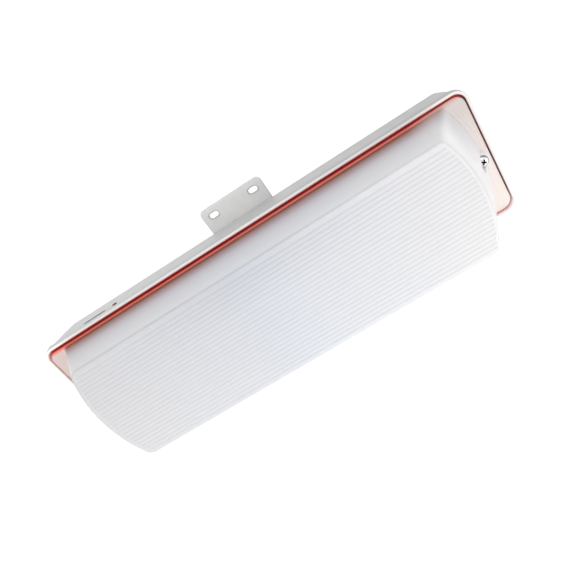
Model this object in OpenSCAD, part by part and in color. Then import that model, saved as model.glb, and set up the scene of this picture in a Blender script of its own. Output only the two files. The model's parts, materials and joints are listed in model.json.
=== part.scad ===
// Linear bulkhead wall light with a ribbed opal diffuser, a slotted mounting tab,
// a push-to-test bar and the gear that it holds inside.
// +X runs along the light, +Z is up, and the light faces -Y. The wall is the plane y = 0.

/* [Housing] */
// Length over the rim
rim_l = 356; // [352:1:360]
// Width over the rim
rim_w = 101; // [99:0.5:103]
// Corner radius of the rim, outside
rim_r = 10; // [9:0.5:12]
// Thickness of the rim's wall
rim_t = 2.4; // [2.2:0.1:2.8]
// Depth of the rim's upright band
rim_h = 5; // [4.5:0.5:6]
// Distance from the back face of the bracket to the front of the rim
rim_front = 52; // [52:1:54]
// Length of the housing's back
back_l = 348; // [346:1:350]
// Width of the housing's back
back_w = 80; // [78:1:82]
// Corner radius of the housing's back
back_r = 8; // [6:1:10]
// Wall thickness of the housing
wall = 2.5; // [2:0.25:3]

/* [Diffuser] */
// Height of the diffuser in front of the rim
diffuser_h = 48; // [46:1:50]
// Half length at the foot, on the centre line
foot_x = 171; // [170:0.5:171.5]
// Half length at the front, on the centre line
front_x = 152.4; // [150:0.2:156]
// Half width at the foot
foot_z = 44.8; // [44.6:0.1:45.4]
// Half width at the front
front_z = 44.5; // [43:0.1:45]
// Radius of the bowed ends
bow_r = 110; // [104:1:130]
// Radius of the upright corners between the ends and the sides
corner_r = 6; // [4:0.5:8]
// Wall thickness of the diffuser
opal_t = 2; // [1.8:0.1:2.4]
// Distance from rib to rib
rib_pitch = 3.3; // [3:0.1:3.6]
// Number of grooves between the ribs
grooves = 25; // [21:2:25]
// Depth of a groove
groove_d = 0.5; // [0.3:0.1:0.8]

/* [Seal and screws] */
// Thickness of the gasket
gasket_t = 1.9; // [1.5:0.1:1.9]
// Distance of the diffuser screws from the centre
screw_x = 166; // [165.5:0.5:167]
// Radius of a diffuser screw's shank
screw_r = 2; // [1.8:0.1:2.1]
// Radius of a diffuser screw's head
head_r = 3.6; // [3.2:0.1:4]

/* [Bracket] */
// Width of the strap and its tab
tab_w = 55; // [52:1:57]
// Height of the tab's top edge above the light's centre
tab_top = 60; // [58.5:0.1:61]
// Thickness of the strap
strap_t = 2; // [1.5:0.5:2]
// Distance between the two slots
slot_pitch = 36; // [34:1:38]
// Length of a slot, end to end
slot_l = 7.6; // [7:0.2:9]
// Width of a slot
slot_w = 4.4; // [4.2:0.1:5]
// Width of the bevel around a slot's front edge
slot_rim = 1; // [0.6:0.1:1.2]
// Height of the slots above the light's centre
slot_z = 52.2; // [51.5:0.1:53]

/* [Test button] */
// Centre of the push bar along the housing
bar_x = -131; // [-131.5:0.5:-127]
// Length of the push bar
bar_l = 20; // [16:1:20]
// Centre of the indicator along the housing
lamp_x = -112; // [-113:0.5:-109]

/* [Gear] */
// Half length of the gear tray
tray_x = 157; // [156:1:158]
// Half width of the gear tray
tray_z = 41.5; // [40:0.5:41.5]
// Length of a light strip
strip_l = 280; // [260:10:280]
// Number of light packages on a strip
chips = 14; // [10:1:18]
// Length of one battery cell
cell_l = 43; // [40:1:43]
// Diameter of a battery cell
cell_d = 22.5; // [20:0.5:23]

/* [Hidden] */
$fn = 48;
hull_fn = 32;
eps = 0.05;

// Planes across the light, from the wall forwards
back_y = -strap_t;
floor_y = back_y - wall;
rim_y = -rim_front;
band_y = rim_y + rim_h;
ledge_t = 2.5;
ledge_back = band_y + ledge_t;
front_y = rim_y - diffuser_h;
flange_t = 2;
flange_x = rim_l / 2 - rim_t - 0.9;
flange_z = 46.4;
flange_r = 7.5;
flange_back = band_y - gasket_t - 0.1;
flange_y = flange_back - flange_t;
seat_y = rim_y - 8.5;

// The drafted wall behind the rim
step = 1;
side_l = rim_l - 2 * step;
side_w = rim_w - 2 * step;
side_run = back_y - band_y;
slope_z = (side_w - back_w) / 2 / side_run;
slope_x = (side_l - back_l) / 2 / side_run;
skin_z = wall / cos(atan(slope_z));

// Openings inside the ledge
open_x = 160;
open_z = 42.5;

// Cable entries
entry_r = 10.2;
entry_y = -19;
entry_boss_x = 176;
rear_x = -90;
rear_r = 8;
cable_r = 4;

// Tray, posts and strips
tray_t = 1.5;
tray_back = band_y + 1;
tray_front = tray_back - tray_t;
post_x = 150;
post_z = 28;
strip_z = 20;
strip_w = 16;
strip_t = 1.6;
strip_front = tray_front - strip_t;
chip_t = 0.8;
feed_x = -151;

// Status board under the test button
bar_y = -39.5;
bar_z = 43.2;
bar_w = 2.8;
bar_clear = 0.4;
lens_z = 42.8;
board_top = bar_z - 7.4;
board_t = 1.6;
status_posts = [-139.5, -101.5];
status_post_y = -33;
lamp_r = 2.2;

// Screws that hold the strap to the housing
strap_screw_z = 16;

// Driver, battery and terminals
drv_back = -8;
drv_x0 = 22;
drv_x1 = 138;
drv_z0 = -1;
drv_z1 = 31;
drv_out_y = -20;
lid_y = -31;
cell_z = -22.5;
cell_y = floor_y - cell_d / 2 - 0.6;
cell_x0 = 11;
cap_t = 3;
term_x = -44;
pole = 12;

// Height of the drafted outer wall above the centre line at depth y
function wall_z(y) = back_w / 2 + (back_y - y) * slope_z;
function wall_x(y) = back_l / 2 + (back_y - y) * slope_x;

// Outline of the diffuser: straight sides, ends bowed to radius r, corners of radius c
function bow(hx, hz, r, c) =
  let (
    u = hz - c,
    v = sqrt((r - c) * (r - c) - u * u),
    a = atan2(u, v),
    m = 4,
    n = 10,
    right = concat(
      [for (i = [0:m]) let (t = -90 + (90 - a) * i / m) [hx - r + v + c * cos(t), c * sin(t) - u]],
      [for (i = [1:n - 1]) let (t = a * (2 * i / n - 1)) [hx - r + r * cos(t), r * sin(t)]],
      [for (i = [0:m]) let (t = a + (90 - a) * i / m) [hx - r + v + c * cos(t), c * sin(t) + u]]
    )
  )
  concat(right, [for (p = right) -p]);

// Half length of a groove at height z
function groove_x(z) = front_x - 2.4 - bow_r + sqrt(bow_r * bow_r - z * z);

// Rounded rectangle in the plane of the wall
module rrect(l, w, r) {
  square([l - 2 * r, w], center = true);
  square([l, w - 2 * r], center = true);
  for (sx = [-1, 1], sz = [-1, 1])
    translate([sx * (l / 2 - r), sz * (w / 2 - r)])
      circle(r);
}

// Extrudes a shape drawn in X and Z from depth y0 forwards to y1 (y1 < y0)
module slab(y0, y1) {
  translate([0, y0, 0])
    rotate([90, 0, 0])
      linear_extrude(y0 - y1)
        children();
}

// Cylinder along Y from y0 forwards to y1
module rod(x, z, r, y0, y1) {
  translate([x, y0, z])
    rotate([90, 0, 0])
      cylinder(r = r, h = y0 - y1);
}

// Box given by two corners
module block(a, b) {
  translate(a)
    cube(b - a);
}

// Pan-head screw along Y: head on the -Y side of head_y, shank going to tip_y
module pan_screw(x, z, hr, hh, sr, head_y, tip_y) {
  translate([x, head_y, z])
    rotate([90, 0, 0])
      difference() {
        union() {
          intersection() {
            cylinder(r = hr, h = hh);
            translate([0, 0, hh - hr * 1.5])
              sphere(hr * 1.5);
          }
          translate([0, 0, -(tip_y - head_y)])
            cylinder(r = sr, h = tip_y - head_y + eps);
        }
        for (a = [0, 90])
          rotate([0, 0, a + 20])
            translate([-hr * 0.6, -hr * 0.14, hh * 0.5])
              cube([hr * 1.2, hr * 0.28, hh]);
      }
}

// Round wire of radius r swept along a list of points
function unit(v) = v / norm(v);
function tangent(p, i) =
  i == 0 ? unit(p[1] - p[0]) :
  i == len(p) - 1 ? unit(p[i] - p[i - 1]) :
  unit(unit(p[i + 1] - p[i]) + unit(p[i] - p[i - 1]));
function side_of(t, up) = unit(cross(t, up));
module wire(p, r, up = [0, 0.13, 1], n = 8) {
  rings = [for (i = [0:len(p) - 1])
    let (t = tangent(p, i), s = side_of(t, up), u = cross(s, t))
    for (k = [0:n - 1]) p[i] + r * (cos(360 * k / n) * s + sin(360 * k / n) * u)];
  m = len(p);
  walls = [for (i = [0:m - 2], k = [0:n - 1])
    let (a = i * n + k, b = i * n + (k + 1) % n)
    each [[a, a + n, b + n], [a, b + n, b]]];
  ends = [[for (k = [0:n - 1]) k], [for (k = [0:n - 1]) (m - 1) * n + n - 1 - k]];
  polyhedron(points = rings, faces = concat(walls, ends));
}

// Smooth curve through route points, for a wire
function spline(p, q) = [
  for (i = [0:len(p) - 2], j = [0:q - 1])
    let (
      t = j / q,
      a = p[max(i - 1, 0)], b = p[i], c = p[i + 1], d = p[min(i + 2, len(p) - 1)]
    )
    0.5 * (2 * b + (c - a) * t + (2 * a - 5 * b + 4 * c - d) * t * t
      + (3 * b - a - 3 * c + d) * t * t * t),
  p[len(p) - 1]
];

// Tray moulding with rim, gasket ledge, posts and cable entries
module housing() {
  color("white")
    difference() {
      union() {
        difference() {
          housing_shell();
          housing_cavity();
        }
        housing_posts();
      }
      housing_holes();
    }
}

module housing_shell() {
  slab(band_y, rim_y)
    rrect(rim_l, rim_w, rim_r);
  hull() {
    slab(back_y, back_y - 0.5)
      rrect(back_l, back_w, back_r, $fn = hull_fn);
    slab(band_y + 0.5, band_y)
      rrect(side_l, side_w, rim_r - step, $fn = hull_fn);
  }
  for (s = [-1, 1])
    translate([s * (wall_x(entry_y) - wall), entry_y, 0])
      rotate([0, s * 90, 0])
        cylinder(r = 14, h = entry_boss_x - wall_x(entry_y) + wall);
}

module housing_cavity() {
  slab(band_y, rim_y - 1)
    rrect(rim_l - 2 * rim_t, rim_w - 2 * rim_t, rim_r - rim_t);
  slab(ledge_back + 0.1, band_y - 0.1)
    rrect(2 * open_x, 2 * open_z, 6);
  hull() {
    slab(floor_y, floor_y - 0.5)
      rrect(2 * (wall_x(floor_y) - wall), 2 * (wall_z(floor_y) - skin_z), 5, $fn = hull_fn);
    slab(ledge_back + 0.5, ledge_back)
      rrect(2 * (wall_x(ledge_back) - wall), 2 * (wall_z(ledge_back) - skin_z), 6, $fn = hull_fn);
  }
}

module housing_posts() {
  // Bosses for the diffuser screws, tied to the end walls
  for (s = [-1, 1]) {
    rod(s * screw_x, 0, 5, -30, band_y);
    block(
      [min(s * screw_x, s * 174), band_y + 0.5, -1.2],
      [max(s * screw_x, s * 174), -30, 1.2]
    );
  }
  // Posts for the tray, the driver and the strap
  for (sx = [-1, 1], sz = [-1, 1])
    rod(sx * post_x, sz * post_z, 4, floor_y + 0.5, tray_back);
  for (sz = [-1, 1])
    rod(0, sz * strap_screw_z, 4, floor_y + 0.5, -14);
  for (p = driver_feet())
    rod(p[0], p[1], 3.5, floor_y + 0.5, drv_back);
  // Bosses for the status board hang from the top wall
  for (x = status_posts)
    translate([x, status_post_y, board_top])
      cylinder(r = 2.6, h = wall_z(status_post_y) - skin_z - board_top + 1);
}

module housing_holes() {
  for (s = [-1, 1])
    rod(s * screw_x, 0, screw_r + 0.05, -31.5, band_y - 1);
  for (sx = [-1, 1], sz = [-1, 1])
    rod(sx * post_x, sz * post_z, 1.55, -34, tray_back - 1);
  for (sz = [-1, 1])
    rod(0, sz * strap_screw_z, 1.8, back_y + 1, -12);
  for (p = driver_feet())
    rod(p[0], p[1], 1.3, -5, -9);
  for (x = status_posts)
    translate([x, status_post_y, board_top - 1])
      cylinder(r = 1.05, h = 6);
  for (s = [-1, 1])
    translate([s * 160, entry_y, 0])
      rotate([0, s * 90, 0])
        cylinder(r = entry_r, h = 30);
  rod(rear_x, 0, rear_r, 0, -8);
  // Slot for the push bar and hole for the indicator
  block(
    [bar_x - bar_l / 2 - bar_clear, bar_y - bar_w / 2 - bar_clear, 44],
    [bar_x + bar_l / 2 + bar_clear, bar_y + bar_w / 2 + bar_clear, 54]
  );
  translate([lamp_x, bar_y, 44])
    cylinder(r = lamp_r + eps, h = 10);
}

function driver_feet() = [[drv_x0 - 4, 15], [drv_x1 + 4, 15]];

// Steel strap behind the housing, with the slotted tab above it
module mounting_bracket() {
  color("lightgray")
    difference() {
      slab(0, back_y)
        difference() {
          union() {
            translate([-tab_w / 2, -30])
              square([tab_w, tab_top - 4 + 30]);
            translate([-tab_w / 2 + 4, -34])
              square([tab_w - 8, tab_top + 34]);
            for (sx = [-1, 1])
              translate([sx * (tab_w / 2 - 4), tab_top - 4])
                circle(4);
            for (sx = [-1, 1])
              translate([sx * (tab_w / 2 - 4), -30])
                circle(4);
          }
          for (sx = [-1, 1])
            translate([sx * slot_pitch / 2, slot_z])
              slot();
        }
      for (sx = [-1, 1])
        translate([sx * slot_pitch / 2, back_y - eps, slot_z])
          slot_bevel();
      for (sz = [-1, 1]) {
        rod(0, sz * strap_screw_z, 1.9, 1, back_y - 1);
        translate([0, 0, sz * strap_screw_z])
          rotate([90, 0, 0])
            cylinder(r1 = 3.5 + eps, r2 = 1.9, h = 1.6 + eps);
      }
    }
}

module slot() {
  square([slot_l - slot_w, slot_w], center = true);
  for (s = [-1, 1])
    translate([s * (slot_l - slot_w) / 2, 0])
      circle(slot_w / 2);
}

module slot_bevel() {
  hull()
    for (s = [-1, 1])
      translate([s * (slot_l - slot_w) / 2, 0, 0])
        rotate([-90, 0, 0])
          cylinder(r1 = slot_w / 2 + slot_rim, r2 = slot_w / 2, h = slot_rim);
}

// Countersunk screws that hold the strap to the housing
module bracket_screws() {
  color("silver")
    for (sz = [-1, 1])
      translate([0, -0.1, sz * strap_screw_z])
        rotate([90, 0, 0])
          difference() {
            union() {
              cylinder(r1 = 3.3, r2 = 1.75, h = 1.5);
              cylinder(r = 1.75, h = 11.5);
            }
            for (a = [0, 90])
              rotate([0, 0, a])
                translate([-1.8, -0.4, -0.5])
                  cube([3.6, 0.8, 1.5]);
          }
}

// Flat silicone ring on the ledge
module gasket() {
  color("orangered")
    slab(band_y, band_y - gasket_t)
      difference() {
        rrect(rim_l - 2 * rim_t - 0.4, rim_w - 2 * rim_t - 0.4, rim_r - rim_t - 0.2);
        rrect(2 * open_x + 2, 2 * open_z + 1, 6);
        for (s = [-1, 1])
          translate([s * screw_x, 0])
            circle(screw_r + 0.6);
      }
}

// Opal cover: bowed sloping ends, ribbed flat front, and a flange on the gasket
module diffuser() {
  color("whitesmoke")
    difference() {
      union() {
        difference() {
          union() {
            diffuser_skin(0, flange_back);
            slab(flange_back, flange_y)
              rrect(2 * flange_x, 2 * flange_z, flange_r);
            for (s = [-1, 1])
              rod(s * screw_x, 0, 5.4, flange_back, seat_y);
          }
          diffuser_skin(opal_t, flange_back + 1);
        }
        for (s = [-1, 1])
          intersection() {
            rod(s * screw_x, 0, 7, flange_back, seat_y - 20);
            diffuser_skin(0, flange_back);
          }
      }
      for (s = [-1, 1]) {
        rod(s * screw_x, 0, 5, seat_y, seat_y - 30);
        rod(s * screw_x, 0, screw_r + 0.3, flange_back + 1, seat_y - 1);
      }
      diffuser_grooves();
    }
}

// Outer form of the diffuser, shrunk by t on every side
module diffuser_skin(t, y0) {
  hull() {
    slab(y0, y0 - 0.1)
      polygon(bow(foot_x - t, foot_z - t, bow_r - t, corner_r - t));
    slab(front_y + 2.1, front_y + max(2, t))
      polygon(bow(front_x - t, front_z - t, bow_r - t, corner_r - t));
    if (t == 0)
      slab(front_y + 0.1, front_y)
        polygon(bow(front_x - 2, front_z - 1.2, bow_r - 2, corner_r - 1.2));
  }
}

module diffuser_grooves() {
  for (k = [-(grooves - 1) / 2:(grooves - 1) / 2])
    translate([-groove_x(k * rib_pitch), front_y, k * rib_pitch])
      rotate([90, 0, 90])
        linear_extrude(2 * groove_x(k * rib_pitch))
          polygon([[-eps, -groove_d * 1.4], [-eps, groove_d * 1.4], [groove_d, 0]]);
}

// Sealing washers under the heads of the diffuser screws
module screw_seals() {
  color("dimgray")
    for (s = [-1, 1])
      difference() {
        rod(s * screw_x, 0, 4.2, seat_y, seat_y - 0.6);
        rod(s * screw_x, 0, screw_r + 0.06, seat_y + 1, seat_y - 2);
      }
}

module diffuser_screw(s) {
  color("silver")
    pan_screw(s * screw_x, 0, head_r, 2.3, screw_r, seat_y - 0.65, -33);
}

module diffuser_screw_left() {
  diffuser_screw(-1);
}

module diffuser_screw_right() {
  diffuser_screw(1);
}

// White sheet tray with stiffening lips along its long sides
module gear_tray() {
  color("white")
    difference() {
      union() {
        slab(tray_back, tray_front)
          rrect(2 * tray_x, 2 * tray_z, 4);
        for (s = [-1, 1])
          block(
            [-tray_x + 6, tray_front - 3.5, s * (tray_z - 0.6) - 0.6],
            [tray_x - 6, tray_front + 0.1, s * (tray_z - 0.6) + 0.6]
          );
      }
      for (sx = [-1, 1], sz = [-1, 1])
        rod(sx * post_x, sz * post_z, 1.8, tray_back + 1, tray_front - 1);
      for (sx = [-1, 1], sz = [-1, 1])
        rod(sx * board_screw_x(), sz * strip_z, 1.3, tray_back + 1, tray_front - 1);
      rod(feed_x, 0, 4, tray_back + 1, tray_front - 1);
    }
}

function board_screw_x() = strip_l / 2 - 13;

module tray_screws() {
  color("silver")
    for (sx = [-1, 1], sz = [-1, 1])
      pan_screw(sx * post_x, sz * post_z, 3, 1.8, 1.5, tray_front, -35);
}

module led_board(z) {
  color("ivory")
    difference() {
      block([-strip_l / 2, strip_front, z - strip_w / 2], [strip_l / 2, tray_front, z + strip_w / 2]);
      for (sx = [-1, 1])
        rod(sx * board_screw_x(), z, 1.3, tray_back + 1, strip_front - 1);
    }
}

module led_board_upper() {
  led_board(strip_z);
}

module led_board_lower() {
  led_board(-strip_z);
}

module led_chips(z) {
  pitch = (strip_l - 44) / (chips - 1);
  color("khaki")
    for (i = [0:chips - 1])
      translate([-strip_l / 2 + 22 + i * pitch, strip_front, z])
        rotate([90, 0, 0])
          difference() {
            translate([-1.75, -1.75, 0])
              cube([3.5, 3.5, chip_t]);
            translate([0, 0, chip_t - 0.15])
              cylinder(r = 1.3, h = 1);
          }
}

module led_chips_upper() {
  led_chips(strip_z);
}

module led_chips_lower() {
  led_chips(-strip_z);
}

// Wire-to-board connectors at the left end of the strips
module led_connectors() {
  color("snow")
    for (s = [-1, 1])
      difference() {
        block(
          [-strip_l / 2 + 1, strip_front - 3.5, s * strip_z - 4],
          [-strip_l / 2 + 8, strip_front, s * strip_z + 4]
        );
        for (d = [-2, 2])
          translate([-strip_l / 2, strip_front - 1.8, s * strip_z + d])
            rotate([0, 90, 0])
              cylinder(r = 1, h = 5);
      }
}

module board_screws() {
  color("silver")
    for (sx = [-1, 1], sz = [-1, 1])
      pan_screw(sx * board_screw_x(), sz * strip_z, 2.3, 1.4, 1.25, strip_front, tray_back - eps);
}

// Driver and charger box with screw feet at both ends
module driver_case() {
  color("gainsboro")
    difference() {
      union() {
        block([drv_x0, lid_y, drv_z0], [drv_x1, drv_back, drv_z1]);
        for (p = driver_feet())
          rod(p[0], p[1], 3.9, drv_back, drv_back - 2);
        block([drv_x0 - 4, drv_back - 2, 11.1], [drv_x1 + 4, drv_back, 18.9]);
      }
      block([drv_x0 + 1.5, -40, drv_z0 + 1.5], [drv_x1 - 1.5, -9.5, drv_z1 - 1.5]);
      for (p = driver_feet())
        rod(p[0], p[1], 1.5, -7, -11);
      // Wire outlets at the left end
      for (z = [4, 15, 26])
        translate([drv_x0 - 1, drv_out_y, z])
          rotate([0, 90, 0])
            cylinder(r = 2.6, h = 4);
      translate([drv_x0 - 1, drv_out_y - 6, 26])
        rotate([0, 90, 0])
          cylinder(r = 1.8, h = 4);
    }
}

module driver_lid() {
  color("whitesmoke")
    difference() {
      union() {
        block([drv_x0, lid_y - 1.5, drv_z0], [drv_x1, lid_y, drv_z1]);
        block([drv_x0 + 1.6, lid_y - 0.5, drv_z0 + 1.6], [drv_x1 - 1.6, lid_y + 2, drv_z1 - 1.6]);
      }
      // Cooling slots
      for (i = [0:9])
        block([drv_x0 + 40 + i * 7, lid_y - 3, 6], [drv_x0 + 42 + i * 7, lid_y + 4, 24]);
    }
}

module driver_screws() {
  color("silver")
    for (p = driver_feet())
      pan_screw(p[0], p[1], 2.6, 1.6, 1.25, -10, -5.5);
}

// Three cells end to end
module battery_cells() {
  color("seagreen")
    for (i = [0:2])
      translate([cell_x0 + i * cell_l, cell_y, cell_z])
        rotate([0, 90, 0]) {
          cylinder(r = cell_d / 2, h = cell_l - 1);
          translate([0, 0, cell_l - 1])
            cylinder(r = 4, h = 0.9);
        }
}

module battery_caps() {
  color("dimgray")
    for (s = [0, 1])
      translate([s == 0 ? cell_x0 - cap_t : cell_x0 + 3 * cell_l, cell_y, cell_z])
        rotate([0, 90, 0])
          difference() {
            cylinder(r = cell_d / 2 - 0.4, h = cap_t);
            translate([0, 0, s == 0 ? -1 : cap_t - 1])
              cylinder(r = 5, h = 2);
          }
}

// Spring clips on the floor that grip the battery stick
module battery_clips() {
  r = cell_d / 2 + 0.1;
  color("white")
    for (x = [38, 116])
      difference() {
        union() {
          translate([x - 5, cell_y, cell_z])
            rotate([0, 90, 0])
              cylinder(r = r + 1.6, h = 10);
          block([x - 5, cell_y, cell_z - 9], [x + 5, floor_y, cell_z + 9]);
        }
        translate([x - 6, cell_y, cell_z])
          rotate([0, 90, 0])
            cylinder(r = r, h = 12);
        block([x - 6, cell_y - 30, cell_z - 20], [x + 6, cell_y - 5, cell_z + 20]);
        block([x - 6, floor_y, cell_z - 30], [x + 6, floor_y + 5, cell_z + 30]);
      }
}

// Three-pole terminal block on the floor
module terminal_block() {
  color("whitesmoke")
    difference() {
      union() {
        block([term_x - 18, floor_y - 12, -10], [term_x + 18, floor_y, 10]);
        for (i = [-1:1])
          block(
            [term_x + i * pole - 4.6, floor_y - 16, -7],
            [term_x + i * pole + 4.6, floor_y - 12, 7]
          );
      }
      for (i = [-1:1], s = [-1, 1]) {
        rod(term_x + i * pole, s * 4, 1.95, floor_y - 4, floor_y - 17);
        translate([term_x + i * pole, floor_y - 7, s * 8])
          cylinder(r = 2, h = 6, center = true);
      }
    }
}

module terminal_screws() {
  color("silver")
    for (i = [-1:1], s = [-1, 1])
      difference() {
        rod(term_x + i * pole, s * 4, 1.85, floor_y - 9.2, floor_y - 14.5);
        block(
          [term_x + i * pole - 2, floor_y - 15, s * 4 - 0.35],
          [term_x + i * pole + 2, floor_y - 13.7, s * 4 + 0.35]
        );
      }
}

// Rubber grommet in the rear cable entry
module cable_grommet() {
  color("#303030")
    difference() {
      union() {
        rod(rear_x, 0, 10.5, back_y + 1.5, back_y);
        rod(rear_x, 0, rear_r - eps, back_y + eps, floor_y - eps);
        rod(rear_x, 0, 10.5, floor_y, floor_y - 1.5);
      }
      rod(rear_x, 0, cable_r, 1, floor_y - 3);
    }
}

// Blanking plug in an end entry
module entry_plug(s) {
  color("white")
    translate([s * entry_boss_x, entry_y, 0])
      rotate([0, s * 90, 0])
        difference() {
          union() {
            cylinder(r = 12.5, h = 1.6);
            translate([0, 0, -4.6])
              cylinder(r = entry_r - 0.1, h = 4.6 + eps);
          }
          translate([0, 0, -6])
            cylinder(r = entry_r - 1.8, h = 4.6);
          translate([0, 0, 0.9])
            cylinder(r = 8, h = 2);
        }
}

module entry_plug_left() {
  entry_plug(-1);
}

module entry_plug_right() {
  entry_plug(1);
}

// Push bar in the top wall, with a collar that keeps it in
module test_button() {
  color("#202020")
    union() {
      block(
        [bar_x - bar_l / 2, bar_y - bar_w / 2, bar_z + 1.3],
        [bar_x + bar_l / 2, bar_y + bar_w / 2, bar_z + 4.7]
      );
      block(
        [bar_x - bar_l / 2 - 1.4, bar_y - 2.1, bar_z],
        [bar_x + bar_l / 2 + 1.4, bar_y + 2.1, bar_z + 1.35]
      );
      translate([bar_x, bar_y, bar_z - 1.8])
        cylinder(r = 1.5, h = 2);
    }
}

function coil(x, r, z0, z1, turns, q) = [
  for (i = [0:turns * q])
    [x + r * cos(360 * i / q), bar_y + r * sin(360 * i / q), z0 + (z1 - z0) * i / (turns * q)]
];

// Return springs on each side of the switch
module test_springs() {
  color("silver")
    for (dx = [-7, 7])
      wire(coil(bar_x + dx, 1.5, board_top + 0.35, bar_z - 0.35, 4, 10), 0.25, [0, 0.01, 1], 6);
}

module switch_plunger() {
  color("#404040")
    translate([bar_x, bar_y, bar_z - 4.8])
      cylinder(r = 1.5, h = 3);
}

// Tactile switch on the status board
module test_switch() {
  color("dimgray")
    difference() {
      union() {
        block([bar_x - 3, bar_y - 2.1, board_top], [bar_x + 3, bar_y + 3.9, board_top + 3.5]);
        translate([bar_x, bar_y, board_top + 3.4])
          cylinder(r = 2.05, h = 0.5);
      }
      translate([bar_x, bar_y, board_top + 0.4])
        cylinder(r = 1.56, h = 5);
    }
}

module status_board() {
  color("green")
    difference() {
      block([-143, bar_y - 2.2, board_top - board_t], [-98, -29, board_top]);
      for (x = status_posts)
        translate([x, status_post_y, board_top - 3])
          cylinder(r = 1.25, h = 5);
    }
}

module status_screws() {
  color("silver")
    for (x = status_posts)
      translate([x, status_post_y, board_top - board_t])
        difference() {
          union() {
            translate([0, 0, -1.4])
              cylinder(r = 2.1, h = 1.4);
            cylinder(r = 1, h = 5.4);
          }
          translate([-1.5, -0.3, -1.6])
            cube([3, 0.6, 0.9]);
        }
}

// Signal lamp on the status board, below its lens
module indicator_led() {
  color("darkred")
    translate([lamp_x, bar_y, board_top]) {
      cylinder(r = 1.9, h = 1);
      cylinder(r = 1.5, h = 4);
      translate([0, 0, 4])
        sphere(1.5);
    }
}

module indicator_lens() {
  color("saddlebrown")
    translate([lamp_x, bar_y, lens_z])
      difference() {
        union() {
          block([-3, -2.3, 0], [3, 3, 1.2]);
          cylinder(r = lamp_r, h = 5.2);
          intersection() {
            translate([0, 0, 5.1])
              cylinder(r = lamp_r, h = 2);
            translate([0, 0, 2.3])
              sphere(3.7);
          }
        }
        translate([0, 0, -0.6])
          cylinder(r = 1.4, h = 3.5);
      }
}

// Leads between the parts, clear of the floor and the tray
module lead_mains() {
  color("saddlebrown")
    for (k = [-1:1])
      wire(spline([
        [term_x + k * pole, floor_y - 7, 8.4],
        [term_x + k * pole, floor_y - 8, 14],
        [term_x + 22 + k * 4, floor_y - 12 + k * 2.5, 22 + k * 3],
        [-6, floor_y - 16 + k * 1.6, 26 + k],
        [12, drv_out_y + k * 1.6, 26],
        [drv_x0 + 0.8, drv_out_y + k * 1.6, 26]
      ], 4), 0.65, [0.3, 1, 0.1], 6);
}

module lead_battery() {
  color("firebrick")
    for (k = [-1, 1])
      wire(spline([
        [cell_x0 - cap_t + 0.9, cell_y + k * 2, cell_z],
        [4, cell_y + k * 2, cell_z + 1],
        [2, -22 + k * 1.4, -14],
        [6, -27 + k * 1.2, -4],
        [14, -24 + k * 1.1, 3],
        [drv_x0 + 0.8, drv_out_y + k, 4]
      ], 4), 0.6, [0, 0.13, 1], 6);
}

// Two pairs of leads from the driver, out through the tray to the light strips
module lead_leds() {
  color("crimson")
    for (s = [-1, 1], k = [-1, 1])
      wire(spline([
        [drv_x0 + 0.4, drv_out_y + k, 15 + s],
        [8, -29 + k, 13 + s * 1.2],
        [-20, -38 + k, 8 + s * 1.3],
        [-90, -40.5 + k, 3 + s * 1.3],
        [feed_x + 10, -41.5 + k, s * 1.3],
        [feed_x - k, -46, s * 1.5],
        [feed_x - k, strip_front - 1, s * 4],
        [feed_x + 2 - k * 1.1, strip_front - 1.8, s * (strip_z - 6)],
        [-strip_l / 2 - 4, strip_front - 1.8, s * (strip_z + k * 2)],
        [-strip_l / 2 + 2, strip_front - 1.8, s * (strip_z + k * 2)]
      ], 4), 0.6, [0.2, 0.1, 0.3], 6);
}

module lead_status() {
  color("gold")
    for (k = [-1, 1])
      wire(spline([
        [-98, -36 + k * 1.2, board_top + 0.7],
        [-92, -36 + k * 1.2, board_top + 0.7],
        [-70, -36 + k * 1.2, 33],
        [-20, -36 + k * 1.2, 31],
        [4, -30 + k * 1.2, 30.5],
        [drv_x0 + 0.8, drv_out_y - 6 + k * 0.9, 26]
      ], 4), 0.5, [0, 0.13, 1], 6);
}

housing();
mounting_bracket();
bracket_screws();
gasket();
diffuser();
screw_seals();
diffuser_screw_left();
diffuser_screw_right();
gear_tray();
tray_screws();
led_board_upper();
led_board_lower();
led_chips_upper();
led_chips_lower();
led_connectors();
board_screws();
driver_case();
driver_lid();
driver_screws();
battery_cells();
battery_caps();
battery_clips();
terminal_block();
terminal_screws();
cable_grommet();
entry_plug_left();
entry_plug_right();
test_button();
test_springs();
switch_plunger();
test_switch();
status_board();
status_screws();
indicator_led();
indicator_lens();
lead_mains();
lead_battery();
lead_leds();
lead_status();
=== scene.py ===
"""Looks of the linear bulkhead wall light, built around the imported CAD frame.

Lengths in the tables below are in millimetres and are turned into metres by MM. The row frame has +X
along the light, +Z up, and the light faces -Y. Outlines are drawn in X and Z, and depth is Y.
"""

import json
import math

import bmesh
import bpy
from mathutils import Matrix, Vector


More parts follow.
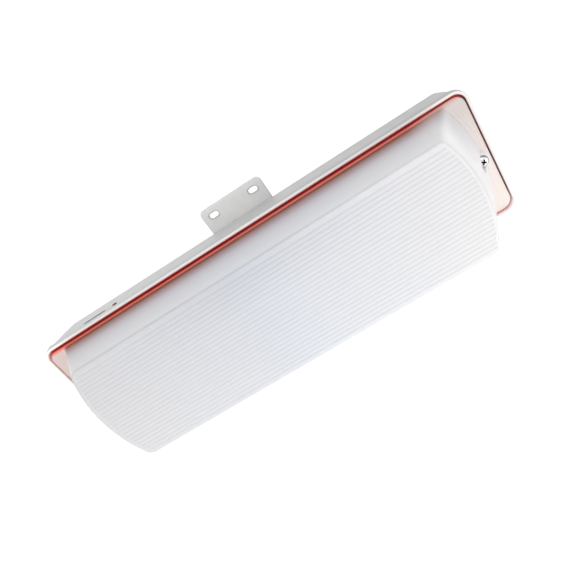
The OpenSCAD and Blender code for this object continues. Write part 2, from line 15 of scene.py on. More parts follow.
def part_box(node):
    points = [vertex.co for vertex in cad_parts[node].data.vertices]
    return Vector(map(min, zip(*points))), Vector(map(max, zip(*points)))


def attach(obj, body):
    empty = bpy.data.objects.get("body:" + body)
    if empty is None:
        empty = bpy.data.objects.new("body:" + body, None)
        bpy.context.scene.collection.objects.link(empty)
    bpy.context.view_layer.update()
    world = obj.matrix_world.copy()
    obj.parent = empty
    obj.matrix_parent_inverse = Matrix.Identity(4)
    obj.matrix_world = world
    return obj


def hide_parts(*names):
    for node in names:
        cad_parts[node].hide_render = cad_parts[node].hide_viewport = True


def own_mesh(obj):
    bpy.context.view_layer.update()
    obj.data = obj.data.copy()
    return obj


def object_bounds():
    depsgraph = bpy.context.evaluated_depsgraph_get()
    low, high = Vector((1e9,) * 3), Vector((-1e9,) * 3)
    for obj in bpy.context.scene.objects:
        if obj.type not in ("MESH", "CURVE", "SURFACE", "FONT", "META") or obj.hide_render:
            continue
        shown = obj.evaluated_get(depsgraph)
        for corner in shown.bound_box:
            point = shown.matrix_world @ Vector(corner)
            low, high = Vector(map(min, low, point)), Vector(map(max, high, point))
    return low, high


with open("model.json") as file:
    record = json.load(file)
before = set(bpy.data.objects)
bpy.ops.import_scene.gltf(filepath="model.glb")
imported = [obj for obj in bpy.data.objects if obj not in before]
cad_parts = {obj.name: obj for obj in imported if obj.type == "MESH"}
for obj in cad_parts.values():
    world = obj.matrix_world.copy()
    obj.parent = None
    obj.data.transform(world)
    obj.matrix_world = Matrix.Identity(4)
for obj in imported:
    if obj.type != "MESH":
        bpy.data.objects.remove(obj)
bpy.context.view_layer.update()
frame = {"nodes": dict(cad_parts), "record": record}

MM = 0.001
SHARP = math.radians(32)
scene = bpy.context.scene

# ---------------------------------------------------------------- sizes, in mm

# The housing: a drafted tray with a raised rim
BACK_Y, FLOOR_Y, BAND_Y, RIM_Y = -2.0, -4.5, -47.0, -52.0
BACK_X, BACK_Z, BACK_R = 174.0, 40.0, 8.0
SIDE_X, SIDE_Z, SIDE_R = 177.0, 49.5, 9.0
RIM_X, RIM_Z, RIM_R = 178.0, 50.5, 10.0
RIM_WALL = 2.4
WALL, SKIN_Z = 2.5, 2.555
LEDGE_X, LEDGE_Z, LEDGE_R, LEDGE_BACK = 160.0, 42.5, 6.0, -44.5
ENTRY_Y, ENTRY_R, ENTRY_BOSS_R, ENTRY_FACE = -19.0, 10.2, 14.0, 176.0
REAR_X, REAR_R = -90.0, 8.0
SCREW_X, HEAD_TOP, RECESS_TURN = 166.0, -63.45, 58
STATUS_POSTS, STATUS_Y, STATUS_TOP = (-139.5, -101.5), -33.0, 35.8
STATUS_R, STATUS_HOLE_R, STATUS_HOLE_H = 2.6, 1.05, 6.0
SIDES = (-1, 1)
TRAY_SCREW_X, TRAY_SCREW_Z, STRAP_SCREW_Z = 150.0, 28.0, 16
# Screw posts: their places, then the radius and both depths of each post and of its hole
POSTS = (
    ([(s * SCREW_X, 0) for s in SIDES], (5, -30, BAND_Y + 0.01), (2.05, -31.5, BAND_Y - 1)),
    ([(a * TRAY_SCREW_X, b * TRAY_SCREW_Z) for a in SIDES for b in SIDES],
     (4, FLOOR_Y + 0.5, BAND_Y + 1), (1.55, -34, -47)),
    ([(0, s * STRAP_SCREW_Z) for s in SIDES], (4, FLOOR_Y + 0.5, -14), (1.8, BACK_Y + 1, -12)),
    ([(18.0, 15.0), (142.0, 15.0)], (3.5, FLOOR_Y + 0.5, -8), (1.3, -5, -9)),
)

# The push bar and the indicator in the top wall
BAR_X, BAR_Y, BAR_Z, BAR_L, BAR_W, BAR_GAP = -131.0, -39.5, 43.2, 20.0, 2.8, 0.4
LAMP_X, LAMP_R, LENS_Z = -112.0, 2.2, 42.8

# The strap's corners and edges, and the slots in its tab as half sizes
STRAP_R, STRAP_ROLL = 4, 0.3
SLOT_X, SLOT_Z, SLOT_L, SLOT_W = 18.0, 52.2, 3.8, 2.2

# The diffuser: bowed sloping ends, a ribbed front and a flange
FRONT_Y, FLANGE_Y, FLANGE_BACK, SEAT_Y = -100.0, -51.0, -49.0, -60.5
FOOT_X, FOOT_Z, FRONT_X, FRONT_Z = 171.0, 44.8, 152.4, 44.5
BOW_R, STRAIGHT, CORNER_R, OPAL_T = 110.0, 1e5, 6.0, 2.0
FLANGE_X, FLANGE_Z, FLANGE_R = 174.7, 46.4, 7.5
RIB_PITCH, RIBS, RIB_DEPTH, RIB_STEPS = 3.3, 25, 0.38, 8
RIB_FADE, FIELD_X = 1.1, 150.0
FIELD_Z = RIB_PITCH * RIBS / 2

# The gasket on the ledge, which ends flush with the flange
GASKET_X, GASKET_Z, GASKET_R, GASKET_Y = 174.5, 47.9, 7.4, -48.9
GASKET_IN_X, GASKET_IN_Z, GASKET_IN_R = 161.0, 43.0, 6


# ---------------------------------------------------------------- mesh helpers

def wall_half(y):
    """Half length and half width of the drafted outer wall at depth y."""
    share = (BACK_Y - y) / (BACK_Y - BAND_Y)
    return BACK_X + (SIDE_X - BACK_X) * share, BACK_Z + (SIDE_Z - BACK_Z) * share


def make(name, points, faces):
    """A mesh object from points in mm, welded, with its normals outwards."""
    mesh = bpy.data.meshes.new(name)
    mesh.from_pydata([Vector(p) * MM for p in points], [], faces)
    piece = bpy.data.objects.new(name, mesh)
    scene.collection.objects.link(piece)
    bm = bmesh.new()
    bm.from_mesh(mesh)
    bmesh.ops.remove_doubles(bm, verts=bm.verts, dist=1e-7)
    bmesh.ops.recalc_face_normals(bm, faces=bm.faces)
    bm.to_mesh(mesh)
    bm.free()
    return piece


def soften(piece, angle=SHARP):
    """Smooth shading, with edges sharper than angle kept sharp."""
    bm = bmesh.new()
    bm.from_mesh(piece.data)
    for face in bm.faces:
        face.smooth = True
    for edge in bm.edges:
        edge.smooth = len(edge.link_faces) == 2 and edge.calc_face_angle(0) < angle
    bm.to_mesh(piece.data)
    bm.free()


def loft(name, loops, caps=True):
    """A skin through loops that all have the same number of points, with both ends capped."""
    count = len(loops[0])
    points = [p for loop in loops for p in loop]
    faces = []
    for i in range(len(loops) - 1):
        a, b = i * count, (i + 1) * count
        for k in range(count):
            n = (k + 1) % count
            faces.append((a + k, a + n, b + n, b + k))
    if caps:
        faces += [tuple(range(count)), tuple(range(len(points) - count, len(points)))]
    return make(name, points, faces)


def rounded(hx, hz, r, y, steps=10):
    """A rounded rectangle across the light at depth y."""
    loop = []
    for sx, sz, start in ((1, 1, 0), (-1, 1, 90), (-1, -1, 180), (1, -1, 270)):
        for i in range(steps + 1):
            a = math.radians(start + 90 * i / steps)
            loop.append((sx * (hx - r) + r * math.cos(a), y, sz * (hz - r) + r * math.sin(a)))
    return loop


def quarter(steps=4, back=False):
    """Shares of a rounding's inset and depth: from the full inset to the full depth, or back."""
    angles = [math.pi / 2 * i / steps for i in range(steps + 1)]
    shares = [(1 - math.sin(a), 1 - math.cos(a)) for a in angles]
    return shares[::-1] if back else shares


def rolled(size, y, out, along, shares):
    """Loops of a rounded edge: the outline grows by up to out and moves by up to along."""
    hx, hz, r = size
    return [rounded(hx + out * i, hz + out * i, r + out * i, y + along * d) for i, d in shares]


def flat(x, y, z, hx, hy, r, steps=5):
    """A rounded rectangle that lies flat at height z."""
    return [(x + px, y + py, z) for px, _, py in rounded(hx, hy, r, 0, steps)]


def shifted(loop, dx, dz):
    """A loop moved along X and Z."""
    return [(x + dx, y, z + dz) for x, y, z in loop]


def lathe(name, profile, origin, axis, sides=48, caps=True):
    """A turned piece: profile is (radius, height) from the first cap to the last."""
    turn = Vector(axis).to_track_quat("Z", "Y")
    loops = []
    for radius, height in profile:
        loop = []
        for k in range(sides):
            a = 2 * math.pi * k / sides
            p = turn @ Vector((radius * math.cos(a), radius * math.sin(a), height))
            loop.append(tuple(Vector(origin) + p))
        loops.append(loop)
    return loft(name, loops, caps)


def ring(name, profile, origin, axis, sides=48):
    """A turned ring: the profile closes on itself instead of in two caps."""
    return lathe(name, [*profile, profile[0]], origin, axis, sides, caps=False)


def rod(x, z, r, y0, y1, sides=32):
    """A plain cutter or post along Y."""
    return lathe("rod", [(r, 0), (r, y0 - y1)], (x, y0, z), (0, -1, 0), sides)


def brick(low, high, r):
    """A box between two corners, with its edges along Y rounded to radius r."""
    (x0, y0, z0), (x1, y1, z1) = low, high
    hx, hz = (x1 - x0) / 2, (z1 - z0) / 2
    return loft("brick", [shifted(rounded(hx, hz, r, y, 4), x0 + hx, z0 + hz) for y in (y0, y1)])


def combine(piece, parts, operation):
    """Adds, cuts or keeps what it shares with parts, in turn, and removes them."""
    for part in parts:
        step = piece.modifiers.new("step", "BOOLEAN")
        step.operation, step.object, step.solver = operation, part, "EXACT"
        graph = bpy.context.evaluated_depsgraph_get()
        mesh = bpy.data.meshes.new_from_object(piece.evaluated_get(graph))
        piece.modifiers.clear()
        old, piece.data = piece.data, mesh
        bpy.data.meshes.remove(old)
        bpy.data.objects.remove(part)
    return piece


def finish(piece, name, node, body, slot, angle=SHARP):
    """Names a piece, gives it its finish, and puts it in the place of its CAD node."""
    piece.name = name
    piece.data.name = name
    piece.data.materials.clear()
    piece.data.materials.append(materials[slot])
    soften(piece, angle)
    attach(piece, body)
    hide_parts(node)


# ---------------------------------------------------------------- tints, in mm and as colours

WHITE = (1.0, 1.0, 1.0)
HALVES = (-20.0, 20.0)

# The diffuser: cooler in its middle and paler towards its ends, a painted light near the corners, with
# painted shade up its right end
OPAL_MIDDLE, OPAL_ENDS, OPAL_SPAN = (0.903, 0.929, 0.982), (0.955, 0.95, 0.96), (20.0, 170.0)
OPAL_ROUGH = (0.30, 0.38)
OPAL_FIXED = {"Transmission Weight": 0.2, "IOR": 1.49, "Subsurface Weight": 0.5,
              "Subsurface Scale": 0.002, "Subsurface Radius": WHITE}
END_SHADE, END_SPAN, END_RISE = (0.775, 0.78, 0.79), (148.0, 158.0), (-12.0, 36.0)

# Its ribbed front: painted shade towards the upper left, along the top and in the valleys
FRONT_SPAN = (-99.5, -96.5)
FRONT_TONES = ((0.0, (0.745, 0.745, 0.755)), (1.0, (0.92, 0.915, 0.91)))
SLANT_X, SLANT_Z, SLANT_SPAN = 0.30, -0.95, (-75.0, 75.0)
CROWN_TONE, CROWN_RISE, CROWN_SPAN = (0.92, 0.92, 0.925), (15.0, 40.0), (20.0, 110.0)
VALLEY_TONE, VALLEY_SPAN = (0.885, 0.885, 0.89), (-100.0, -99.6)
VALLEY_LEFT, VALLEY_FADE = 0.25, (-130.0, 40.0)

# Near the diffuser's foot: painted red light from the gasket and painted shade in the groove under the
# rim, by distance from the wall plane
TINT_FROM, TINT_TO = 100.0, 49.0
LOWER_SHARE, SIDE_BAND = 0.4, (43.0, 44.6)
CORNER_SHARE, CORNER_BAND = 0.35, (132.0, 162.0)
LIP_TINT, LIP_BAND = (0.62, 0.05, 0.05), (45.1, 46.0)
EDGE_TINT, EDGE_BAND, EDGE_FRONT = (0.60, 0.03, 0.025), (7.0, 7.2), -50.9
FOOT_SIDES = ((100.0, (0.952, 0.952, 0.952)), (98.0, WHITE), (96.0, WHITE),
              (93.0, (0.97, 0.97, 0.98)), (87.0, (0.935, 0.925, 0.94)), (81.0, (0.905, 0.89, 0.91)),
              (75.0, (0.84, 0.825, 0.83)), (71.0, (0.78, 0.745, 0.76)), (67.0, (0.705, 0.64, 0.67)),
              (63.0, (0.58, 0.468, 0.495)), (60.0, (0.52, 0.375, 0.387)), (58.0, (0.47, 0.327, 0.292)),
              (56.0, (0.40, 0.26, 0.19)), (54.0, (0.325, 0.143, 0.09)), (52.6, (0.367, 0.114, 0.072)),
              (51.4, (0.82, 0.257, 0.195)), (51.0, (1.0, 0.33, 0.26)), (49.3, (1.0, 0.33, 0.26)),
              (49.15, WHITE))
FOOT_RIGHT = ((100.0, WHITE), (58.4, (1.0, 0.99, 0.985)), (52.0, (0.98, 0.93, 0.90)),
              (51.0, (0.96, 0.87, 0.81)), (49.3, (0.90, 0.72, 0.62)), (49.15, WHITE))
FOOT_LEFT = ((100.0, (0.97, 0.97, 0.97)), (60.0, (0.96, 0.93, 0.92)), (52.0, (0.88, 0.76, 0.73)),
             (51.0, (0.86, 0.71, 0.67)), (49.3, (0.86, 0.71, 0.67)), (49.15, WHITE))

# The housing: painted shade on its walls all round, and on the upper one from left to right
WALL_TONE, UPPER_RISE, UPPER_SPAN = (0.80, 0.80, 0.81), (30.0, 39.0), (-120.0, 140.0)
UPPER_TONES = ((0.0, (0.68, 0.68, 0.685)), (0.5, (0.57, 0.57, 0.58)), (1.0, (0.505, 0.505, 0.50)))
# The rim's inner face and front edge, by distance past the straight core of its outline: painted red light
# from the gasket, painted shade in the gap, and painted shade on the rim towards the right
RIM_CORE = (168.0, 40.5)
INNER_REACH, INNER_FRONT = 7.75, -46.8
INNER_LEFT, INNER_SPAN, INNER_RISE = (1.0, 0.80, 0.74), (-150.0, 165.0), (-44.0, -32.0)
INNER_RIGHT = ((0.0, (1.0, 0.95, 0.93)), (1.0, (0.40, 0.22, 0.20)))
RIM_FRONT, RIM_OUTER, RIM_BAND, RIM_RISE = (-51.9, -51.2), (9.2, 9.9), (7.6, 8.6), (40.0, 47.0)
RIM_STRONG = ((0.0, (0.95, 0.30, 0.26)), (0.35, (1.0, 0.70, 0.66)), (1.0, WHITE))
RIM_FAINT = ((0.0, (1.0, 0.86, 0.83)), (1.0, WHITE))
RIM_RIGHT, RIM_SPAN = (0.80, 0.785, 0.785), (0.0, 170.0)

# The strap: painted shade around its slots and towards the right, and a darker tone on its cut edges
SLOT_RING, SLOT_BAND, SLOT_CORE = (0.70, 0.70, 0.70), (3.1, 3.4), (1.6, 0.0)
CUT_TONE, CUT_BAND = (0.40, 0.40, 0.40), (27.15, 27.35)
STRAP_RIGHT, STRAP_SPAN = (0.93, 0.93, 0.93), (4.0, 24.0)

# Painted shade in the screws' recess, by distance from the axis and depth below the crown
RECESS_R, RECESS_SPAN, RECESS_END, RECESS_SHADE = 2.7, (0.55, 0.8), 1.6, (0.012, 0.012, 0.012)


# ---------------------------------------------------------------- materials

# What several finishes share
PLASTIC = {"mottle": 40.0, "grain": 1400.0, "relief": 0.12, "depth": 0.03}
METAL = {"mottle": 300.0, "grain": 2500.0, "relief": 0.1, "depth": 0.02, "Metallic": 1.0}


def graph_of(name):
    """A new node material, its tree, its Principled node and the row-frame coordinates."""
    mat = bpy.data.materials.new(name)
    mat.use_nodes = True
    tree = mat.node_tree
    shader = tree.nodes["Principled BSDF"]
    coords = tree.nodes.new("ShaderNodeTexCoord")
    return mat, tree, shader, coords.outputs["Object"]


def noise(tree, vector, scale, detail=4.0, stretch=None):
    """A noise value from 0 to 1. stretch scales the axes, for grain that runs one way."""
    if stretch:
        mapping = tree.nodes.new("ShaderNodeMapping")
        mapping.inputs["Scale"].default_value = stretch
        tree.links.new(vector, mapping.inputs["Vector"])
        vector = mapping.outputs["Vector"]
    tex = tree.nodes.new("ShaderNodeTexNoise")
    tex.inputs["Scale"].default_value = scale
    tex.inputs["Detail"].default_value = detail
    tree.links.new(vector, tex.inputs["Vector"])
    return tex.outputs["Fac"]


def ramp(tree, value, stops):
    """Maps a value to colours at the given places."""
    node = tree.nodes.new("ShaderNodeValToRGB")
    for element, (place, colour) in zip(node.color_ramp.elements, (stops[0], stops[-1])):
        element.position, element.color = place, (*colour, 1)
    for place, colour in stops[1:-1]:
        node.color_ramp.elements.new(place).color = (*colour, 1)
    tree.links.new(value, node.inputs["Fac"])
    return node.outputs["Color"]


def spread(tree, value, low, high, from_low=0.3, from_high=0.7):
    """Maps a noise value to the span from low to high."""
    node = tree.nodes.new("ShaderNodeMapRange")
    numbers = (from_low, from_high, low, high)
    for socket, number in zip(("From Min", "From Max", "To Min", "To Max"), numbers):
        node.inputs[socket].default_value = number
    tree.links.new(value, node.inputs["Value"])
    return node.outputs["Result"]


def over(tree, length, span, low=0.0, high=1.0):
    """Goes from low to high as a length crosses a span that is given in mm."""
    return spread(tree, length, low, high, span[0] * MM, span[1] * MM)


def maths(tree, operation, *values):
    """One sum on values that are sockets or numbers."""
    node = tree.nodes.new("ShaderNodeMath")
    node.operation = operation
    for socket, value in zip(node.inputs, values):
        if isinstance(value, (int, float)):
            socket.default_value = value
        else:
            tree.links.new(value, socket)
    return node.outputs["Value"]


def times(tree, product, *values):
    """The product of values that are sockets or numbers."""
    for value in values:
        product = maths(tree, "MULTIPLY", product, value)
    return product


def size_of(tree, u, v):
    """The length of a vector with these two parts."""
    return maths(tree, "SQRT", maths(tree, "ADD", times(tree, u, u), times(tree, v, v)))


def blend(tree, kind, share, first, second):
    """Mixes or multiplies two colours, all the way unless share is given."""
    node = tree.nodes.new("ShaderNodeMix")
    node.data_type, node.blend_type = "RGBA", kind
    node.inputs["Factor"].default_value = 1.0
    if share:
        tree.links.new(share, node.inputs["Factor"])
    for socket, colour in ((node.inputs[6], first), (node.inputs[7], second)):
        if isinstance(colour, tuple):
            socket.default_value = (*colour, 1)
        else:
            tree.links.new(colour, socket)
    return node.outputs[2]


def tint(tree, share, tone):
    """A tint that goes from none to tone as share goes from 0 to 1."""
    return ramp(tree, share, ((0.0, WHITE), (1.0, tone)))


def multiply(tree, colour, *tints):
    """A colour multiplied by each of the tints in turn."""
    for each in tints:
        colour = blend(tree, "MULTIPLY", None, colour, each)
    return colour


def bump(tree, shader, height, strength, depth_mm):
    """Fine relief from a height value."""
    node = tree.nodes.new("ShaderNodeBump")
    node.inputs["Strength"].default_value = strength
    node.inputs["Distance"].default_value = depth_mm * MM
    tree.links.new(height, node.inputs["Height"])
    tree.links.new(node.outputs["Normal"], shader.inputs["Normal"])


def surface(slot, dark, light, rough, mottle=60.0, grain=900.0, relief=0.15, depth=0.05,
            stretch=None, **fixed):
    """A finish of two close colours with uneven gloss and fine relief."""
    mat, tree, shader, place = graph_of(slot)
    colour = ramp(tree, noise(tree, place, mottle, 5.0, stretch), ((0.3, dark), (0.7, light)))
    tree.links.new(colour, shader.inputs["Base Color"])
    gloss = spread(tree, noise(tree, place, mottle * 3.0, 6.0, stretch), *rough)
    tree.links.new(gloss, shader.inputs["Roughness"])
    bump(tree, shader, noise(tree, place, grain, 3.0, stretch), relief, depth)
    for socket, number in fixed.items():
        shader.inputs[socket.replace("_", " ")].default_value = number
    return mat


def axes(tree, place):
    """The X, Y and Z of a place, and the sizes of X and Z without their signs."""
    split = tree.nodes.new("ShaderNodeSeparateXYZ")
    tree.links.new(place, split.inputs["Vector"])
    x, y, z = split.outputs
    return x, y, z, maths(tree, "ABSOLUTE", x), maths(tree, "ABSOLUTE", z)


def axes_of(mat):
    """The tree of a finish that graph_of made, and the axes of its coordinates."""
    tree = mat.node_tree
    coords = next(n for n in tree.nodes if n.type == "TEX_COORD")
    return tree, *axes(tree, coords.outputs["Object"])


def reach(tree, x, z, core):
    """Distance past the straight core of a rounded outline."""
    u, v = (maths(tree, "MAXIMUM", maths(tree, "SUBTRACT", value, end * MM), 0.0)
            for value, end in zip((x, z), core))
    return size_of(tree, u, v)


def retint(mat, *tints):
    """Multiplies a finish's base colour by tints."""
    tree = mat.node_tree
    base = tree.nodes["Principled BSDF"].inputs["Base Color"]
    tree.links.new(multiply(tree, base.links[0].from_socket, *tints), base)
    return mat


def by_depth(tree, near, stops):
    """Tints given at distances from the wall plane."""
    return ramp(tree, near, [((TINT_FROM - depth) / (TINT_FROM - TINT_TO), tone) for depth, tone in stops])


def opal():
    """Translucent white moulding, paler towards its ends as a painted light, with painted red light from
    the gasket and painted shade near its foot, and painted shade over its front.
    """
    mat, tree, shader, place = graph_of("opal")
    x, y, z, across, width = axes(tree, place)
    # Paler towards the ends: painted light near the corners
    cloud = maths(tree, "MULTIPLY_ADD", noise(tree, place, 25.0, 3.0), 0.04, across)
    colour = ramp(tree, over(tree, cloud, OPAL_SPAN), ((0.0, OPAL_MIDDLE), (1.0, OPAL_ENDS)))
    # The painted red light and shade are strong on the long sides and faint at the ends
    near = over(tree, y, (-TINT_FROM, -TINT_TO))
    share = times(tree, over(tree, width, SIDE_BAND), over(tree, z, HALVES, LOWER_SHARE, 1.0),
                  over(tree, x, CORNER_BAND, 1.0, CORNER_SHARE))
    ends = blend(tree, "MIX", over(tree, x, HALVES), by_depth(tree, near, FOOT_LEFT),
                 by_depth(tree, near, FOOT_RIGHT))
    glow = blend(tree, "MIX", share, ends, by_depth(tree, near, FOOT_SIDES))
    # Painted shade, red from the gasket, in the corner at the wall's foot and on the flange's edge in the
    # gap
    lip = times(tree, share, over(tree, width, LIP_BAND))
    flange = reach(tree, across, width, (FLANGE_X - FLANGE_R, FLANGE_Z - FLANGE_R))
    edge = times(tree, over(tree, flange, EDGE_BAND), share,
                 maths(tree, "GREATER_THAN", y, EDGE_FRONT * MM))
    # Painted shade up the right end
    rise = times(tree, over(tree, x, END_SPAN), over(tree, z, END_RISE))
    tinted = multiply(tree, colour, glow, tint(tree, lip, LIP_TINT), tint(tree, edge, EDGE_TINT),
                      tint(tree, rise, END_SHADE))
    # Painted shade on the ribbed front: towards the upper left, along the top and in the valleys
    slant = maths(tree, "MULTIPLY_ADD", z, SLANT_Z, times(tree, x, SLANT_X))
    crown = times(tree, over(tree, z, CROWN_RISE), over(tree, across, CROWN_SPAN, 1.0, 0.0))
    valley = times(tree, over(tree, y, VALLEY_SPAN), maths(tree, "LESS_THAN", width, FIELD_Z * MM),
                   over(tree, x, VALLEY_FADE, VALLEY_LEFT, 1.0))
    front_shade = multiply(tree, ramp(tree, over(tree, slant, SLANT_SPAN), FRONT_TONES),
                     tint(tree, crown, CROWN_TONE), tint(tree, valley, VALLEY_TONE))
    front = over(tree, y, FRONT_SPAN, 1.0, 0.0)
    colour = blend(tree, "MIX", front, tinted, multiply(tree, tinted, front_shade))
    tree.links.new(colour, shader.inputs["Base Color"])
    gloss = spread(tree, noise(tree, place, 180.0, 5.0), *OPAL_ROUGH)
    tree.links.new(gloss, shader.inputs["Roughness"])
    bump(tree, shader, noise(tree, place, 700.0, 2.0), 0.08, 0.03)
    for socket, number in OPAL_FIXED.items():
        shader.inputs[socket].default_value = number
    return mat


def moulding():
    """Satin white: bright on the rim's front edge, with painted shade on the walls, most of all on the
    upper one, and painted red light and shade at the rim.
    """
    mat = surface("housing_white", (0.94, 0.94, 0.935), (0.97, 0.97, 0.965), (0.34, 0.44), **PLASTIC)
    tree, x, y, z, across, width = axes_of(mat)
    out = reach(tree, across, width, RIM_CORE)
    # Painted shade on the walls, deeper on the upper one and towards its right
    wall = blend(tree, "MIX", over(tree, z, UPPER_RISE), WALL_TONE,
                 ramp(tree, over(tree, x, UPPER_SPAN), UPPER_TONES))
    # Painted red light from the gasket on the rim's inner face and front edge, with painted shade deep in
    # the gap towards the right
    inside = times(tree, maths(tree, "LESS_THAN", out, INNER_REACH * MM),
                   maths(tree, "LESS_THAN", y, INNER_FRONT * MM))
    glow = blend(tree, "MIX", over(tree, x, INNER_SPAN), INNER_LEFT,
                 ramp(tree, over(tree, z, INNER_RISE), INNER_RIGHT))
    wall = blend(tree, "MIX", inside, wall, glow)
    inner = over(tree, out, RIM_BAND)
    edge = blend(tree, "MIX", over(tree, z, RIM_RISE), ramp(tree, inner, RIM_FAINT),
                 ramp(tree, inner, RIM_STRONG))
    # Painted shade on the rim's front edge towards the right
    edge = multiply(tree, edge, tint(tree, over(tree, x, RIM_SPAN), RIM_RIGHT))
    face = times(tree, over(tree, y, RIM_FRONT, 1.0, 0.0), over(tree, out, RIM_OUTER, 1.0, 0.0))
    return retint(mat, blend(tree, "MIX", face, wall, edge))


def strap_paint():
    """Light grey paint, darker on the cut edges, with painted shade around the slots and towards the
    right.
    """
    mat = surface("bracket_grey", (0.70, 0.70, 0.69), (0.76, 0.76, 0.75), (0.42, 0.55),
                  mottle=120.0, grain=1500.0, relief=0.35, depth=0.06)
    tree, x, _, z, across, _ = axes_of(mat)
    # Painted shade around the slots and towards the right
    off, rise = (maths(tree, "ABSOLUTE", maths(tree, "SUBTRACT", value, middle * MM))
                 for value, middle in ((across, SLOT_X), (z, SLOT_Z)))
    around = over(tree, reach(tree, off, rise, SLOT_CORE), SLOT_BAND)
    return retint(mat, ramp(tree, around, ((0.0, SLOT_RING), (1.0, WHITE))),
                  tint(tree, over(tree, across, CUT_BAND), CUT_TONE),
                  tint(tree, over(tree, x, STRAP_SPAN), STRAP_RIGHT))


def plated_screw():
    """Bright plating with painted shade in its cross recess."""
    mat = surface("screw_chrome", (0.78, 0.78, 0.79), (0.88, 0.88, 0.89), (0.12, 0.24), **METAL)
    tree, _, y, z, across, _ = axes_of(mat)
    radius = size_of(tree, maths(tree, "SUBTRACT", across, SCREW_X * MM), z)
    start, full = RECESS_SPAN
    # Painted shade in the cross recess
    recess_shade = times(tree, maths(tree, "LESS_THAN", radius, RECESS_R * MM),
                  over(tree, y, (HEAD_TOP + start, HEAD_TOP + full)),
                  maths(tree, "LESS_THAN", y, (HEAD_TOP + RECESS_END) * MM))
    return retint(mat, tint(tree, recess_shade, RECESS_SHADE))


def strip_board():
    """White solder mask with the faint edges of the copper areas under it."""
    mat, tree, shader, place = graph_of("strip_white")
    tracks = tree.nodes.new("ShaderNodeTexBrick")
    for socket, number in (("Scale", 1.0), ("Brick Width", 0.018), ("Row Height", 0.0055),
                           ("Mortar Size", 0.0004), ("Color1", (0.86, 0.86, 0.83, 1)),
                           ("Color2", (0.82, 0.83, 0.80, 1)), ("Mortar", (0.70, 0.71, 0.69, 1))):
        tracks.inputs[socket].default_value = number
    turned = tree.nodes.new("ShaderNodeMapping")
    turned.inputs["Rotation"].default_value = (math.pi / 2, 0, 0)
    tree.links.new(place, turned.inputs["Vector"])
    tree.links.new(turned.outputs["Vector"], tracks.inputs["Vector"])
    tree.links.new(tracks.outputs["Color"], shader.inputs["Base Color"])
    gloss = spread(tree, noise(tree, place, 300.0), 0.3, 0.42)
    tree.links.new(gloss, shader.inputs["Roughness"])
    bump(tree, shader, tracks.outputs["Fac"], 0.2, -0.04)
    return mat


